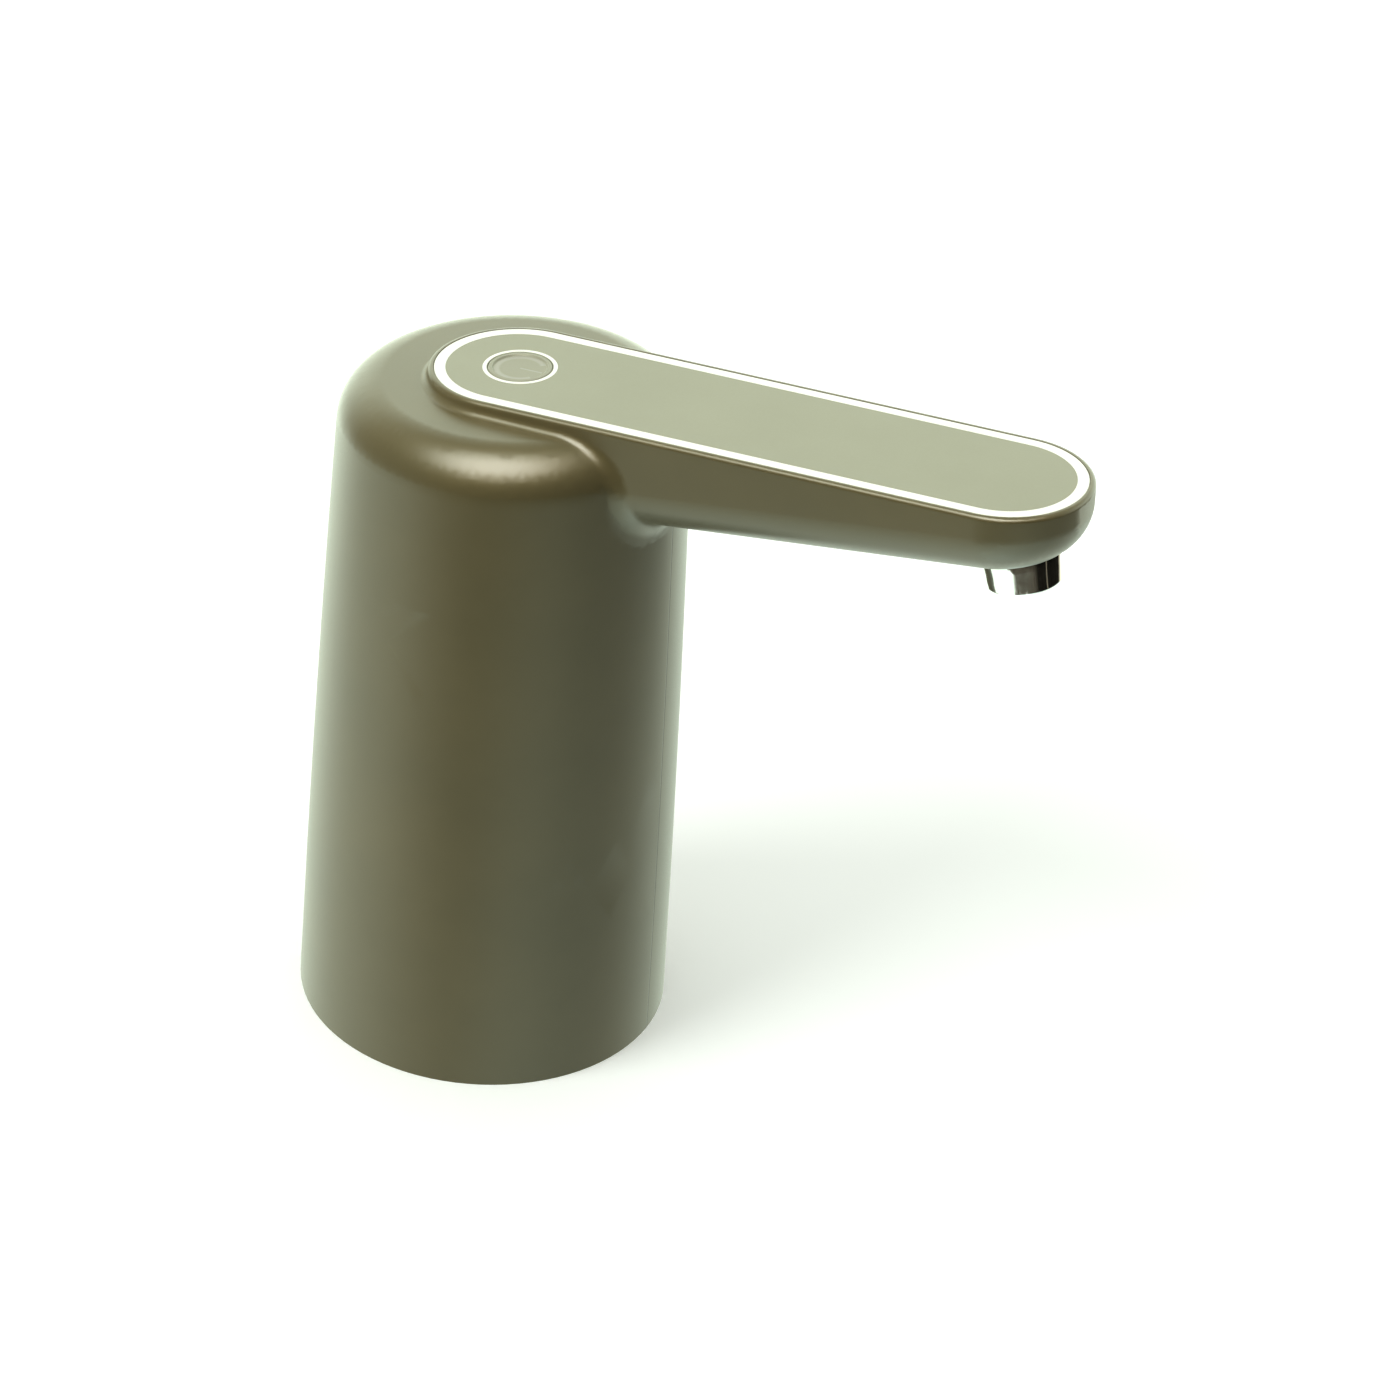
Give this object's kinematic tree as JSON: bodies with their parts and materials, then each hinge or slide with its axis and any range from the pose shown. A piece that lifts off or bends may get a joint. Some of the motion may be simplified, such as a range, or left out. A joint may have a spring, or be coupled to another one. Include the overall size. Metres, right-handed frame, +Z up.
{
  "type": "water carrier tap",
  "caption": "Battery pump tap for a water carrier: tapered round body with a neck socket below, long flat spout arm with a push button, tilted bright nozzle, gear pump and battery inside.",
  "frame": {"origin": "centre of the base rim, on the surface that the tap stands on", "axes": "+Z up along the round body, +X along the spout arm to the nozzle, +Y to the left of the arm"},
  "size_m": [0.1474, 0.073, 0.1451],
  "materials": {
    "housing": "soft-touch satin, olive brown",
    "port_rubber": "matt, olive brown",
    "panel": "satin, pale grey green, with a white border line",
    "tape": "black foam tape",
    "button": "satin, pale grey green, white ring",
    "switch_black": "matt black",
    "board": "green solder mask",
    "component": "matt black",
    "connector": "natural white",
    "led": "clear",
    "screw_steel": "zinc plated",
    "chrome": "polished",
    "nozzle_plastic": "pale grey",
    "silicone": "milky",
    "spring_steel": "bright",
    "pump_plastic": "natural white",
    "seal": "black",
    "seal_grey": "grey silicone",
    "gear": "natural white",
    "can_steel": "zinc plated",
    "end_cap": "black",
    "bronze": "sintered",
    "magnet": "matt dark grey",
    "core_steel": "laminated",
    "copper": "copper",
    "brush": "carbon",
    "brass": "plain",
    "frame_plastic": "dark grey",
    "cell": "blue film",
    "nickel": "plain",
    "socket_steel": "bright",
    "base": "fine texture, olive brown",
    "wire": "red and black sleeves"
  },
  "bodies": {
    "housing": {"base_plate": "base", "base_screws": "screw_steel", "battery_cell": "cell", "battery_tabs": "nickel", "battery_wires": "wire", "board_screws": "screw_steel", "charge_board": "board", "charge_socket": "socket_steel", "charge_wires": "wire", "control_board": "board", "control_chip": "component", "frame_screws": "screw_steel", "hose_clips": "spring_steel", "housing_shell": "housing", "idler_pin": "spring_steel", "inlet_hose": "silicone", "inlet_spigot": "pump_plastic", "inner_frame": "frame_plastic", "jet_plate": "nozzle_plastic", "motor_brushes": "brush", "motor_bushes": "bronze", "motor_can": "can_steel", "motor_end_cap": "end_cap", "motor_magnets": "magnet", "motor_terminals": "brass", "motor_wires": "wire", "neck_seal": "seal_grey", "nozzle_collar": "chrome", "nozzle_seal": "seal", "outlet_hose": "silicone", "panel_tape": "tape", "power_inductor": "component", "pump_body": "pump_plastic", "pump_cover": "pump_plastic", "pump_gasket": "seal", "pump_screws": "screw_steel", "shaft_seal": "seal", "socket_tongue": "switch_black", "spigot_seal": "seal", "spout_elbow": "nozzle_plastic", "status_led": "led", "tact_switch": "switch_black", "top_panel": "panel", "wire_connectors": "connector"},
    "button": {"power_button": "button", "switch_plunger": "switch_black"},
    "rotor": {"motor_shaft": "spring_steel", "armature_core": "core_steel", "armature_windings": "copper", "commutator": "copper", "drive_gear": "gear"},
    "idler": {"driven_gear": "gear"},
    "flap": {"port_cover": "port_rubber"}
  },
  "joints": [
    {"name": "button_press", "type": "slide", "parent": "housing", "child": "button", "axis": [0.0637, 0, -0.998], "range_m": [0, 0.0005], "stiffness_N_per_m": 3000, "springref_m": -0.0002},
    {"name": "rotor_spin", "type": "hinge", "parent": "housing", "child": "rotor", "pos_m": [0.016, 0, 0.068], "axis": [0, 0, 1], "continuous": true},
    {"name": "idler_spin", "type": "hinge", "parent": "housing", "child": "idler", "pos_m": [0.006, 0, 0.0465], "axis": [0, 0, 1], "continuous": true},
    {"name": "port_cover_hinge", "type": "hinge", "parent": "housing", "child": "flap", "pos_m": [-0.0329, 0, 0.1027], "axis": [0, -1, 0], "range_deg": [0, 100]}
  ],
  "couplings": [
    {"joint": "idler_spin", "follows": "rotor_spin", "ratio": -1}
  ]
}
